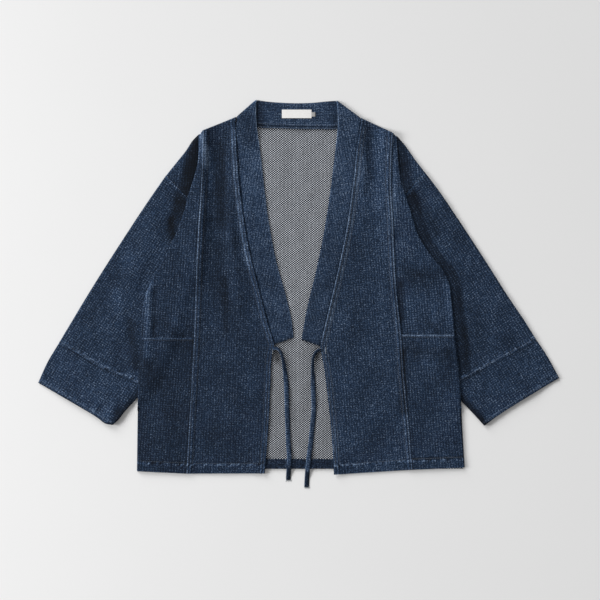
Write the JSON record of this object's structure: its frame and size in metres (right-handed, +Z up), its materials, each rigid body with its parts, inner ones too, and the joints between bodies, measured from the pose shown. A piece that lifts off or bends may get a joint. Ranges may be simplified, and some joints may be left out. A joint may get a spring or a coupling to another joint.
{
  "type": "haori",
  "caption": "Open-front haori jacket of slubby indigo cloth laid flat, with collar band, patch pockets, wide sleeves with deep cuffs and two loose ties.",
  "frame": {"origin": "on the surface the haori lies on, under the middle of its outline without the ties", "axes": "+Z up from the surface, +Y from hem to collar, +X across the garment to the viewer's right"},
  "size_m": [0.9906, 0.7368, 0.0102],
  "materials": {
    "indigo_cloth": "matte, slubby sashiko-like indigo weave with pale flecks, worn pale at seam edges",
    "reverse_cloth": "matte pale reverse of the weave, with dark dots in steep diagonals",
    "tie_tape": "matte narrow indigo tape with pale frayed ends",
    "label_cloth": "soft white woven label, bare"
  },
  "bodies": {
    "root": {"back": "reverse_cloth", "back_hem": "indigo_cloth", "band_back": "indigo_cloth", "band_left": "indigo_cloth", "band_right": "indigo_cloth", "front_left": "indigo_cloth", "front_right": "indigo_cloth", "side_left": "indigo_cloth", "side_right": "indigo_cloth", "pocket_left": "indigo_cloth", "pocket_right": "indigo_cloth", "sleeve_left": "indigo_cloth", "sleeve_right": "indigo_cloth", "cuff_left": "indigo_cloth", "cuff_right": "indigo_cloth", "tie_left": "tie_tape", "tie_right": "tie_tape", "label": "label_cloth", "size_tab": "label_cloth"}
  },
  "joints": []
}
